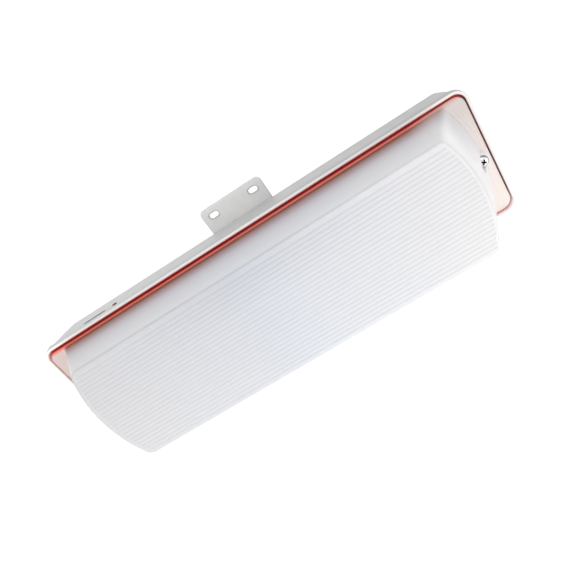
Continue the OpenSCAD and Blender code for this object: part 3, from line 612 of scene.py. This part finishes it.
materials = {
    "housing_white": moulding(),
    "opal": opal(),
    "gasket_orange": surface("gasket_orange", (0.62, 0.03, 0.012), (0.74, 0.04, 0.017), (0.45, 0.6),
                             mottle=90.0, grain=1800.0, relief=0.2, Subsurface_Weight=0.25,
                             Subsurface_Scale=0.002),
    "bracket_grey": strap_paint(),
    "screw_chrome": plated_screw(),
    "screw_zinc": surface("screw_zinc", (0.60, 0.61, 0.63), (0.74, 0.74, 0.75), (0.25, 0.42), **METAL),
    "seal_grey": surface("seal_grey", (0.16, 0.16, 0.165), (0.22, 0.22, 0.225), (0.6, 0.75)),
    "tray_white": surface("tray_white", (0.84, 0.84, 0.84), (0.88, 0.88, 0.88), (0.22, 0.32),
                          mottle=30.0, grain=500.0, relief=0.25, depth=0.05),
    "strip_white": strip_board(),
    "chip_amber": surface("chip_amber", (0.84, 0.62, 0.16), (0.92, 0.74, 0.28), (0.25, 0.4), mottle=500.0),
    "connector_white": surface("connector_white", (0.78, 0.77, 0.71), (0.84, 0.83, 0.78), (0.4, 0.5)),
    "driver_grey": surface("driver_grey", (0.62, 0.62, 0.63), (0.68, 0.68, 0.69), (0.5, 0.62),
                           mottle=80.0, grain=900.0, relief=0.5, depth=0.08),
    "lid_white": surface("lid_white", (0.76, 0.76, 0.76), (0.81, 0.81, 0.81), (0.48, 0.6),
                         mottle=80.0, grain=900.0, relief=0.5, depth=0.08),
    "cell_green": surface("cell_green", (0.02, 0.17, 0.06), (0.035, 0.24, 0.09), (0.18, 0.3),
                          mottle=70.0, grain=200.0, relief=0.3, depth=0.15, stretch=(0.4, 1, 1)),
    "cap_grey": surface("cap_grey", (0.06, 0.06, 0.065), (0.09, 0.09, 0.095), (0.5, 0.6)),
    "clip_white": surface("clip_white", (0.76, 0.76, 0.75), (0.82, 0.82, 0.81), (0.38, 0.48), **PLASTIC),
    "terminal_cream": surface("terminal_cream", (0.78, 0.74, 0.62), (0.84, 0.80, 0.69), (0.4, 0.5)),
    "terminal_brass": surface("terminal_brass", (0.62, 0.45, 0.18), (0.80, 0.62, 0.28), (0.25, 0.4),
                              **METAL),
    "grommet_black": surface("grommet_black", (0.018, 0.018, 0.018), (0.035, 0.035, 0.035), (0.55, 0.7)),
    "button_black": surface("button_black", (0.010, 0.010, 0.011), (0.020, 0.020, 0.021), (0.55, 0.7),
                            mottle=200.0, grain=2200.0, relief=0.5, depth=0.05, Specular_IOR_Level=0.1),
    "spring_steel": surface("spring_steel", (0.5, 0.5, 0.52), (0.7, 0.7, 0.72), (0.22, 0.35), **METAL),
    "switch_black": surface("switch_black", (0.02, 0.02, 0.02), (0.035, 0.035, 0.035), (0.42, 0.55)),
    "board_green": surface("board_green", (0.01, 0.10, 0.035), (0.02, 0.15, 0.055), (0.25, 0.38),
                           mottle=250.0),
    "lamp_red": surface("lamp_red", (0.40, 0.01, 0.008), (0.55, 0.02, 0.015), (0.12, 0.2),
                        Transmission_Weight=0.35),
    "lens_brown": surface("lens_brown", (0.12, 0.03, 0.015), (0.18, 0.05, 0.03), (0.1, 0.18),
                          Transmission_Weight=0.4),
    "wire_brown": surface("wire_brown", (0.09, 0.035, 0.015), (0.13, 0.05, 0.022), (0.35, 0.5)),
    "wire_red": surface("wire_red", (0.48, 0.012, 0.012), (0.6, 0.02, 0.02), (0.35, 0.5)),
    "wire_rose": surface("wire_rose", (0.52, 0.04, 0.03), (0.64, 0.06, 0.05), (0.35, 0.5)),
    "wire_yellow": surface("wire_yellow", (0.66, 0.42, 0.03), (0.78, 0.52, 0.05), (0.35, 0.5)),
}

# The nodes that keep their CAD shape take the finish of their slot
for subpart in frame["record"]["subparts"]:
    cad = frame["nodes"][subpart["node"]]
    cad.data.materials.clear()
    cad.data.materials.append(materials[subpart["material_slot"]])

# ---------------------------------------------------------------- camera

CAMERA_PLACE = (0.0819, -0.4605, 0.1973)
CAMERA_RIGHT = (0.8412, -0.1039, -0.5307)
CAMERA_UP = (0.5139, 0.4590, 0.7247)
CAMERA_BACK = (0.1683, -0.8824, 0.4395)

camera = bpy.data.objects.new("camera", bpy.data.cameras.new("camera"))
scene.collection.objects.link(camera)
camera.data.sensor_width = 36.0
camera.data.lens = 39.65
turn = Matrix((CAMERA_RIGHT, CAMERA_UP, CAMERA_BACK)).transposed().to_4x4()
camera.matrix_world = Matrix.Translation(CAMERA_PLACE) @ turn
scene.camera = camera

# ---------------------------------------------------------------- housing


def housing():
    """The tray moulding as one skin: back, drafted walls, rim, ledge, cavity and floor."""
    back_roll, step_roll, front_roll, lip_roll = 1.5, 0.4, 0.9, 0.6
    rim = (RIM_X, RIM_Z, RIM_R)
    lip = tuple(size - RIM_WALL for size in rim)
    ledge = (LEDGE_X, LEDGE_Z, LEDGE_R)
    loops = rolled((BACK_X, BACK_Z, BACK_R), BACK_Y, -back_roll, -back_roll, quarter())
    for share in (0.35, 0.7, 1.0):
        y = BACK_Y - back_roll + (BAND_Y + 0.3 - BACK_Y + back_roll) * share
        loops.append(rounded(*wall_half(y), BACK_R + (SIDE_R - BACK_R) * share, y))
    # Step, upright band, front of the rim and its inner face
    loops.append(rounded(SIDE_X + 0.3, SIDE_Z + 0.3, SIDE_R + 0.3, BAND_Y))
    loops += rolled(rim, BAND_Y, -step_roll, -step_roll, quarter(3))
    loops += rolled(rim, RIM_Y, -front_roll, front_roll, quarter(5, back=True))
    loops += rolled(lip, RIM_Y, lip_roll, lip_roll, quarter(4))
    loops += rolled(lip, BAND_Y, -step_roll, -step_roll, quarter(3, back=True))
    # Ledge under the gasket, then the cavity and its floor
    loops += rolled(ledge, BAND_Y, step_roll, step_roll, quarter(3))
    loops.append(rounded(*ledge, LEDGE_BACK))
    for y, r in ((LEDGE_BACK, 6.0), (FLOOR_Y - back_roll, 5.0), (FLOOR_Y, 5.0)):
        hx, hz = wall_half(y)
        size = (hx - WALL, hz - SKIN_Z, r)
        if y < FLOOR_Y:
            loops.append(rounded(*size, y))
        else:
            loops += rolled(size, y, -back_roll, -back_roll, quarter(4, back=True)[1:])
    shell = loft("housing", loops)
    posts = [rod(x, z, *post) for places, post, _ in POSTS for x, z in places]
    height = wall_half(STATUS_Y)[1] - SKIN_Z - STATUS_TOP + 1
    posts += [lathe("post", [(STATUS_R, 0), (STATUS_R, height)], (x, STATUS_Y, STATUS_TOP), (0, 0, 1))
              for x in STATUS_POSTS]
    root = wall_half(ENTRY_Y)[0] - WALL
    profile = [(ENTRY_BOSS_R, 0)]
    profile += [(ENTRY_BOSS_R - 0.5 * i, ENTRY_FACE - root - 0.5 * d) for i, d in quarter(3, back=True)]
    posts += [lathe("boss", profile, (s * root, ENTRY_Y, 0), (s, 0, 0), 64) for s in SIDES]
    combine(shell, posts, "UNION")
    holes = [rod(x, z, *hole) for places, _, hole in POSTS for x, z in places]
    profile = [(STATUS_HOLE_R, 0), (STATUS_HOLE_R, STATUS_HOLE_H)]
    holes += [lathe("hole", profile, (x, STATUS_Y, STATUS_TOP - 1), (0, 0, 1)) for x in STATUS_POSTS]
    profile = [(ENTRY_R, 0), (ENTRY_R, 30)]
    holes += [lathe("hole", profile, (s * 160, ENTRY_Y, 0), (s, 0, 0), 64) for s in SIDES]
    holes.append(rod(REAR_X, 0, REAR_R, 0, -8, 48))
    half_l, half_w = BAR_L / 2 + BAR_GAP, BAR_W / 2 + BAR_GAP
    holes.append(loft("slot", [flat(BAR_X, BAR_Y, z, half_l, half_w, 0.8) for z in (44, 54)]))
    lamp_r = LAMP_R + 0.05
    holes.append(lathe("hole", [(lamp_r, 0), (lamp_r, 10)], (LAMP_X, BAR_Y, 44), (0, 0, 1)))
    combine(shell, holes, "DIFFERENCE")
    finish(shell, "housing_moulding", "housing", "housing", "housing_white")


# ---------------------------------------------------------------- diffuser

END_T = [2 * j / (RIBS * RIB_STEPS) - 1 for j in range(RIBS * RIB_STEPS + 1)]
CORNER_STEPS = (0.0, 0.3, 0.65, 1.1, 1.7, 2.4, 3.3, 4.5, 6.5, 12.0, 40.0, 95.0)
SIDE_U = [1 - d / FIELD_X for d in CORNER_STEPS]
SIDE_U = SIDE_U + [0.0] + [-u for u in reversed(SIDE_U)]


class Outline:
    """Straight sides, ends bowed to radius bow, and upright corners of radius c."""

    def __init__(self, hx, hz, bow, c):
        self.hx, self.hz, self.bow, self.c = hx, hz, bow, c
        self.corner_z = hz - c
        run = math.sqrt((bow - c) ** 2 - self.corner_z ** 2)
        self.corner_x = hx - bow + run
        tangent = math.atan2(self.corner_z, run)
        self.tangent_z = bow * math.sin(tangent)
        middle = (tangent + math.pi / 2) / 2
        self.mid_x = self.corner_x + c * math.cos(middle)
        self.mid_z = self.corner_z + c * math.sin(middle)

    def end(self, t):
        """X and Z on the right end at t, which goes from -1 at its foot to 1 at its top."""
        z = t * self.mid_z
        if abs(z) <= self.tangent_z:
            return self.hx - self.bow + math.sqrt(self.bow ** 2 - z * z), z
        return self.corner_x + math.sqrt(max(0, self.c ** 2 - (abs(z) - self.corner_z) ** 2)), z

    def side(self, u):
        """X and Z on the upper side at u, which goes from 1 at its right to -1 at its left."""
        x = u * self.mid_x
        if abs(x) <= self.corner_x:
            return x, self.hz
        return x, self.corner_z + math.sqrt(max(0, self.c ** 2 - (abs(x) - self.corner_x) ** 2))

    def loop(self, y):
        """The whole outline at depth y."""
        right = [(x, y, z) for x, z in map(self.end, END_T)]
        top = [(x, y, z) for x, z in map(self.side, SIDE_U[1:-1])]
        return right + top + [(-x, y, -z) for x, _, z in right] + [(-x, y, -z) for x, _, z in top]


def rib_field():
    """The ribbed front: rounded ribs with sharp valleys that fade out at both ends."""
    points, index = [], {}
    for j, t in enumerate(END_T):
        z = t * FIELD_Z
        half = FIELD_X - BOW_R + math.sqrt(BOW_R ** 2 - z * z)
        valley = 1 - abs(math.sin(math.pi * z / RIB_PITCH))
        for i, u in enumerate(SIDE_U):
            fade = min(1.0, half * (1 - abs(u)) / RIB_FADE)
            index[i, j] = len(points)
            points.append((u * half, FRONT_Y + RIB_DEPTH * valley * fade, z))
    last_i, last_j = len(SIDE_U) - 1, len(END_T) - 1
    faces = [
        (index[i, j], index[i + 1, j], index[i + 1, j + 1], index[i, j + 1])
        for j in range(last_j) for i in range(last_i)
    ]
    right = [index[0, j] for j in range(last_j + 1)]
    top = [index[i, last_j] for i in range(1, last_i)]
    left = [index[last_i, last_j - j] for j in range(last_j + 1)]
    low = [index[last_i - i, 0] for i in range(1, last_i)]
    return points, faces, right + top + left + low


def diffuser():
    """The opal cover: ribbed front, edge band, walls, flange and the inside face."""
    points, faces, border = rib_field()
    loops = []
    # Rounded edge between the front and the walls: how far it goes in at the ends, the sides
    # and the corners, and how deep
    end_roll, side_roll, corner_roll, roll_y = 2.0, 0.9, 1.2, 1.9
    fillet, flange_roll = 0.9, 0.4
    for inset, depth in quarter(6):
        loops.append(Outline(FRONT_X - end_roll * inset, FRONT_Z - side_roll * inset,
                             BOW_R - end_roll * inset, CORNER_R - corner_roll * inset)
                     .loop(FRONT_Y + roll_y * depth))
    top_y, low_y = FRONT_Y + roll_y, FLANGE_Y - fillet

    def wall(share, y):
        """The outer wall's outline at depth y: the front's at share 0, the foot's at 1."""
        return Outline(FRONT_X + (FOOT_X - FRONT_X) * share, FRONT_Z + (FOOT_Z - FRONT_Z) * share,
                       BOW_R, CORNER_R).loop(y)

    run = FLANGE_BACK - top_y
    for k in (0.25, 0.5, 0.75, 1.0):
        y = top_y + (low_y - top_y) * k
        loops.append(wall((y - top_y) / run, y))
    # Fillet at the foot, then the flange
    for inset, depth in quarter(3, back=True)[1:]:
        loops.append(Outline(FOOT_X + fillet * inset, FOOT_Z + fillet / 2 * inset, BOW_R, CORNER_R)
                     .loop(FLANGE_Y - fillet * depth))
    for y, along, shares in ((FLANGE_Y, flange_roll, quarter(3)),
                             (FLANGE_BACK, -flange_roll, quarter(3, back=True))):
        for inset, depth in shares:
            loops.append(Outline(FLANGE_X - flange_roll * inset, FLANGE_Z - flange_roll * inset,
                                 STRAIGHT, FLANGE_R - flange_roll * inset).loop(y + along * depth))
    # Inside, one wall's thickness in
    foot_x, foot_z, front_x, front_z = (v - OPAL_T for v in (FOOT_X, FOOT_Z, FRONT_X, FRONT_Z))
    inside = FRONT_Y + OPAL_T
    for share, y in ((1.0, FLANGE_BACK), (0.5, (FLANGE_BACK + inside) / 2), (0.0, inside + 0.8),
                     (-0.02, inside + 0.2), (-0.06, inside)):
        hx = front_x + (foot_x - front_x) * share
        hz = front_z + (foot_z - front_z) * min(share, share * 8)
        loops.append(Outline(hx, hz, BOW_R - OPAL_T, CORNER_R - OPAL_T).loop(y))
    count, start = len(border), len(points)
    points += [p for loop in loops for p in loop]
    rings = [border] + [[start + i * count + k for k in range(count)] for i in range(len(loops))]
    for a, b in zip(rings, rings[1:]):
        faces += [(a[k], a[(k + 1) % count], b[(k + 1) % count], b[k]) for k in range(count)]
    faces.append(tuple(rings[-1]))
    cover = make("diffuser", points, faces)
    # Screw seats: a boss proud of the wall's foot, a sleeve up the wall and a pocket in it
    boss_r, boss_roll, sleeve_r, pocket_r, hole_r = 5.4, 0.3, 7, 5, 2.3
    base_y = FLANGE_BACK - 0.3
    profile = [(boss_r, 0)] + [(boss_r - boss_roll * i, base_y - SEAT_Y - boss_roll * d)
                               for i, d in quarter(3, back=True)]
    for s in SIDES:
        boss = lathe("boss", profile, (s * SCREW_X, base_y, 0), (0, -1, 0), 64)
        core = loft("core", [
            Outline(FOOT_X - 0.4, FOOT_Z - 0.4, BOW_R, CORNER_R).loop(FLANGE_BACK),
            Outline(FRONT_X - 0.4, FRONT_Z - 0.4, BOW_R, CORNER_R).loop(top_y),
        ])
        sleeve = rod(s * SCREW_X, 0, sleeve_r, FLANGE_BACK - 0.2, SEAT_Y - 20, 64)
        combine(cover, [boss, combine(sleeve, [core], "INTERSECT")], "UNION")
        pocket = rod(s * SCREW_X, 0, pocket_r, SEAT_Y + 0.02, SEAT_Y - 30, 64)
        hole = rod(s * SCREW_X, 0, hole_r, FLANGE_BACK + 1, SEAT_Y - 1)
        combine(cover, [pocket, hole], "DIFFERENCE")
    finish(cover, "diffuser_cover", "diffuser", "diffuser", "opal", math.radians(40))


# ---------------------------------------------------------------- gasket, bracket and small pieces

def gasket():
    """Flat silicone ring with softly rounded edges."""
    outer, inner = (GASKET_X, GASKET_Z, GASKET_R), (GASKET_IN_X, GASKET_IN_Z, GASKET_IN_R)
    back_roll, front_roll = 0.4, 0.5
    loops = rolled(outer, BAND_Y, -back_roll, -back_roll, quarter(3))
    loops += rolled(outer, GASKET_Y, -front_roll, front_roll, quarter(4, back=True))
    loops += rolled(inner, GASKET_Y, front_roll, front_roll, quarter(4))
    loops += rolled(inner, BAND_Y, back_roll, -back_roll, quarter(3, back=True))
    loops.append(loops[0])
    ring_piece = loft("gasket", loops, caps=False)
    holes = [rod(s * SCREW_X, 0, 2.6, BAND_Y + 1, GASKET_Y - 1) for s in SIDES]
    combine(ring_piece, holes, "DIFFERENCE")
    finish(ring_piece, "gasket_ring", "gasket", "housing", "gasket_orange")


def bracket():
    """Steel strap with its slotted tab: rounded corners, broken edges."""
    low, high = (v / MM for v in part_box("mounting_bracket"))
    middle, size = (low.z + high.z) / 2, (high.x, (high.z - low.z) / 2, STRAP_R)
    loops = rolled(size, high.y, -STRAP_ROLL, -STRAP_ROLL, quarter(3))
    loops += rolled(size, low.y, -STRAP_ROLL, STRAP_ROLL, quarter(3, back=True))
    plate = loft("bracket", [shifted(loop, 0, middle) for loop in loops])
    cuts = []
    for s in SIDES:
        # The slot, then the bevel around it
        for steps in (((0, 1), (0, -3)), ((0, -1), (1.05, -2.05))):
            loops = [rounded(SLOT_L + out, SLOT_W + out, SLOT_W + out - 0.01, y, 12) for out, y in steps]
            cuts.append(loft("slot", [shifted(loop, s * SLOT_X, SLOT_Z) for loop in loops]))
        sink = [(3.6, 0), (1.9, 1.7), (1.9, 4)]
        cuts.append(lathe("sink", sink, (0, 0.05, s * STRAP_SCREW_Z), (0, -1, 0)))
    combine(plate, cuts, "DIFFERENCE")
    finish(plate, "bracket_strap", "mounting_bracket", "housing", "bracket_grey")


def cross_recess(at, axis, size, width, depth):
    """A tapered cross-head recess, cut from above."""
    turn_to = Vector(axis).to_track_quat("Z", "Y")
    arms = []
    for turned in (RECESS_TURN, RECESS_TURN + 90):
        loops = []
        for height, share in ((-depth, 0.45), (-depth * 0.4, 0.8), (0.6, 1.0)):
            half_l, half_w = size * share, width * (0.7 + 0.3 * share)
            a = math.radians(turned)
            loop = []
            for x, y in ((half_l, half_w), (-half_l, half_w), (-half_l, -half_w), (half_l, -half_w)):
                p = Vector((x * math.cos(a) - y * math.sin(a), x * math.sin(a) + y * math.cos(a), height))
                loop.append(tuple(Vector(at) + turn_to @ p))
            loops.append(loop)
        arms.append(loft("arm", loops))
    return arms


def diffuser_screw(side, name):
    """Domed cross-head screw with a rolled thread."""
    low, high = (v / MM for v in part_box(name))
    head_r = (high.z - low.z) / 2
    seat, tip = SEAT_Y - 0.65, high.y
    head_h = seat - low.y
    point, pitch, shank, total = 0.7, 0.9, 6, tip - seat
    root_r, crest_r, neck_r = 1.55, 1.97, 2.0
    turns = int((total - shank) / pitch)
    profile = [(0.9, 0.0), (1.5, point)]
    for k in range(turns):
        profile += [(root_r, point + pitch * k + 0.15), (crest_r, point + pitch * (k + 0.5)),
                    (root_r, point + pitch * (k + 0.85))]
    profile += [(neck_r, 0.9 + pitch * turns), (neck_r, total), (head_r * 0.96, total)]
    profile += [(head_r, total + 0.15)]
    for k in range(9):
        a = math.pi / 2 * k / 9
        profile.append((head_r * math.cos(a), total + 0.5 + (head_h - 0.5) * math.sin(a)))
    profile.append((0.15, total + head_h))
    screw = lathe("screw", profile, (side * SCREW_X, tip, 0), (0, -1, 0))
    top = (side * SCREW_X, low.y, 0)
    combine(screw, cross_recess(top, (0, -1, 0), head_r * 0.68, head_r * 0.19, 1.4), "DIFFERENCE")
    finish(screw, name + "_body", name, f"screw_{'left' if side < 0 else 'right'}", "screw_chrome")


def test_bar():
    """Push bar with a crowned, grooved face, its collar and the stub that meets the switch."""
    low, high = (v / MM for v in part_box("test_button"))
    half_l, half_w = BAR_L / 2, BAR_W / 2
    levels = [(half_l + 1.4, 2.1, 0.6, BAR_Z), (half_l + 1.4, 2.1, 0.6, BAR_Z + 1.2),
              (half_l + 1.3, 2.0, 0.5, BAR_Z + 1.3), (half_l, half_w, 0.6, BAR_Z + 1.3)]
    for i, d in quarter(4, back=True):
        levels.append((half_l - 0.5 * i, half_w - 0.5 * i, 0.6 - 0.4 * i, high.z - 0.5 * d))
    loops = [flat(BAR_X, BAR_Y, z, hx, hy, r) for hx, hy, r, z in levels]
    bar = loft("bar", loops)
    grooves, pitch, half, rise, sink = [], 1.6, 0.3, 0.2, 0.3
    for k in range(-4, 5):
        x = BAR_X + k * pitch
        loops = [[(x - half, y, high.z + rise), (x + half, y, high.z + rise), (x, y, high.z - sink)]
                 for y in (BAR_Y - 1.0, BAR_Y + 1.0)]
        grooves.append(loft("groove", loops))
    stub = lathe("stub", [(1.2, 0), (1.5, 0.3), (1.5, 2.0)], (BAR_X, BAR_Y, low.z), (0, 0, 1))
    combine(bar, [stub], "UNION")
    combine(bar, grooves, "DIFFERENCE")
    finish(bar, "test_bar", "test_button", "test_button", "button_black")


def return_springs():
    """The two coils under the push bar, which shorten as it is pressed."""
    turns, steps, sides, coil_r, wire_r = 4, 24, 10, 1.5, 0.24
    low, high = STATUS_TOP + 0.35, BAR_Z - 0.35
    rise = (high - low) / (turns * math.tau)
    points, faces = [], []
    for offset in (-7.0, 7.0):
        start = len(points)
        for i in range(turns * steps + 1):
            angle = math.tau * i / steps
            out = Vector((math.cos(angle), math.sin(angle), 0))
            along = Vector((-coil_r * out.y, coil_r * out.x, rise)).normalized()
            centre = Vector((BAR_X + offset, BAR_Y, low + rise * angle)) + coil_r * out
            for k in range(sides):
                turn = math.tau * k / sides
                points.append(centre + wire_r * (math.cos(turn) * out + math.sin(turn) * along.cross(out)))
        for i in range(turns * steps):
            a = start + i * sides
            for k in range(sides):
                n = (k + 1) % sides
                faces.append((a + k, a + n, a + sides + n, a + sides + k))
        faces += [tuple(range(start, start + sides)), tuple(range(len(points) - sides, len(points)))]
    coils = make("springs", points, faces)
    finish(coils, "return_springs", "test_springs", "housing", "spring_steel")
    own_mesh(coils)


def lens():
    """Domed indicator lens with a square collar behind the wall."""
    low, high = (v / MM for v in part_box("indicator_lens"))
    body_top = LENS_Z + 5.0
    profile = [(LAMP_R - 0.1, 0), (LAMP_R, 0.2), (LAMP_R, body_top - low.z)]
    for k in range(1, 8):
        a = math.pi / 2 * k / 8
        profile.append((LAMP_R * math.cos(a), body_top - low.z + (high.z - body_top) * math.sin(a)))
    profile.append((0.1, high.z - low.z))
    body = lathe("lens", profile, (LAMP_X, BAR_Y, low.z), (0, 0, 1))
    collar = [flat(LAMP_X, BAR_Y + 0.35, z, 3.0, 2.65, 0.5, 4) for z in (LENS_Z, LENS_Z + 1.2)]
    hollow = lathe("hole", [(1.4, 0), (1.4, 3.5)], (LAMP_X, BAR_Y, LENS_Z - 0.6), (0, 0, 1))
    combine(body, [loft("collar", collar)], "UNION")
    combine(body, [hollow], "DIFFERENCE")
    finish(body, "indicator_lens_dome", "indicator_lens", "housing", "lens_brown")


def entry_plug(side, name):
    """Blanking plug: rounded flange, a dished face with a raised bar across it, and a hollow skirt."""
    face = ENTRY_FACE + 1.6
    profile = [(8.4, -4.6), (9.8, -4.6), (10.1, -4.2), (10.1, 0), (12.2, 0), (12.5, 0.3)]
    profile += [(12.5 - 0.7 * i, 1.6 - 0.7 * d) for i, d in quarter(4, back=True)]
    profile += [(8.6, 1.6), (8.1, 1.45), (7.9, 0.9), (0.3, 0.9), (0.3, -1.4), (8.0, -1.4), (8.4, -1.8)]
    plug = ring("plug", profile, (side * ENTRY_FACE, ENTRY_Y, 0), (side, 0, 0), 64)
    hub = lathe("hub", [(0.6, -1.3), (0.6, 0.9)], (side * ENTRY_FACE, ENTRY_Y, 0), (side, 0, 0))
    near, far = sorted((side * (face - 1.0), side * (face - 0.1)))
    web = brick((near, ENTRY_Y - 1.1, -7.95), (far, ENTRY_Y + 1.1, 7.95), 0.3)
    combine(plug, [hub, web], "UNION")
    finish(plug, name + "_cap", name, "housing", "housing_white")


def grommet():
    """Rubber grommet with rounded lips on both sides of the back wall."""
    outer, neck, bore = 10.5, REAR_R - 0.05, 4.0
    back, front = -0.5, FLOOR_Y - 1.5
    profile = [(bore, back - 0.4), (bore + 0.4, back), (outer - 0.5, back), (outer, back - 0.5),
               (outer, BACK_Y), (neck, BACK_Y), (neck, FLOOR_Y), (outer, FLOOR_Y),
               (outer, front + 0.5), (outer - 0.5, front), (bore + 0.4, front), (bore, front + 0.4)]
    piece = ring("grommet", [(r, -y) for r, y in profile], (REAR_X, 0, 0), (0, -1, 0))
    finish(piece, "cable_grommet_ring", "cable_grommet", "housing", "grommet_black")


housing()
diffuser()
gasket()
bracket()
diffuser_screw(-1, "diffuser_screw_left")
diffuser_screw(1, "diffuser_screw_right")
test_bar()
return_springs()
lens()
entry_plug(-1, "entry_plug_left")
entry_plug(1, "entry_plug_right")
grommet()

# ---------------------------------------------------------------- floor and light

FLOOR_DROP, FLOOR_GLOW = 0.9, 0.55
SKY_LOW, SKY_HIGH = 1.0, 0.6
SOFTBOX_SIZE = 1.3


def stage_floor():
    """A wide pale floor, well below the light, which hangs on its wall mount."""
    half, z = 12.0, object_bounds()[0].z - FLOOR_DROP
    corners = [(-half, -half, z), (half, -half, z), (half, half, z), (-half, half, z)]
    mesh = bpy.data.meshes.new("floor")
    mesh.from_pydata(corners, [], [(0, 1, 2, 3)])
    floor = bpy.data.objects.new("floor", mesh)
    scene.collection.objects.link(floor)
    mat, tree, shader, place = graph_of("floor_white")
    colour = ramp(tree, noise(tree, place, 3.0), ((0.3, (0.93, 0.93, 0.93)), (0.7, (0.95, 0.95, 0.95))))
    tree.links.new(colour, shader.inputs["Base Color"])
    shader.inputs["Roughness"].default_value = 0.9
    shader.inputs["Emission Color"].default_value = (1, 1, 1, 1)
    shader.inputs["Emission Strength"].default_value = FLOOR_GLOW
    mesh.materials.append(mat)


def softbox(name, place, power):
    """A square area light aimed at the origin."""
    light = bpy.data.lights.new(name, "AREA")
    light.shape, light.size, light.energy = "SQUARE", SOFTBOX_SIZE, power
    lamp = bpy.data.objects.new(name, light)
    scene.collection.objects.link(lamp)
    lamp.location = place
    lamp.rotation_mode = "QUATERNION"
    lamp.rotation_quaternion = (-Vector(place)).to_track_quat("-Z", "Y")


stage_floor()
softbox("key", (1.2, -1.5, -0.3), 4.3)
softbox("fill", (0.3, -1.2, 1.4), 13.0)

world = bpy.data.worlds.new("studio")
scene.world = world
world.use_nodes = True
sky = world.node_tree
direction = sky.nodes.new("ShaderNodeTexCoord")
height = sky.nodes.new("ShaderNodeSeparateXYZ")
sky.links.new(direction.outputs["Generated"], height.inputs["Vector"])
climb = spread(sky, height.outputs["Z"], 0.0, 1.0, 0.15, 0.45)
tones = ramp(sky, climb, ((0.0, (SKY_LOW,) * 3), (1.0, (SKY_HIGH,) * 3)))
sky.links.new(tones, sky.nodes["Background"].inputs["Color"])

scene.view_settings.view_transform = "Standard"
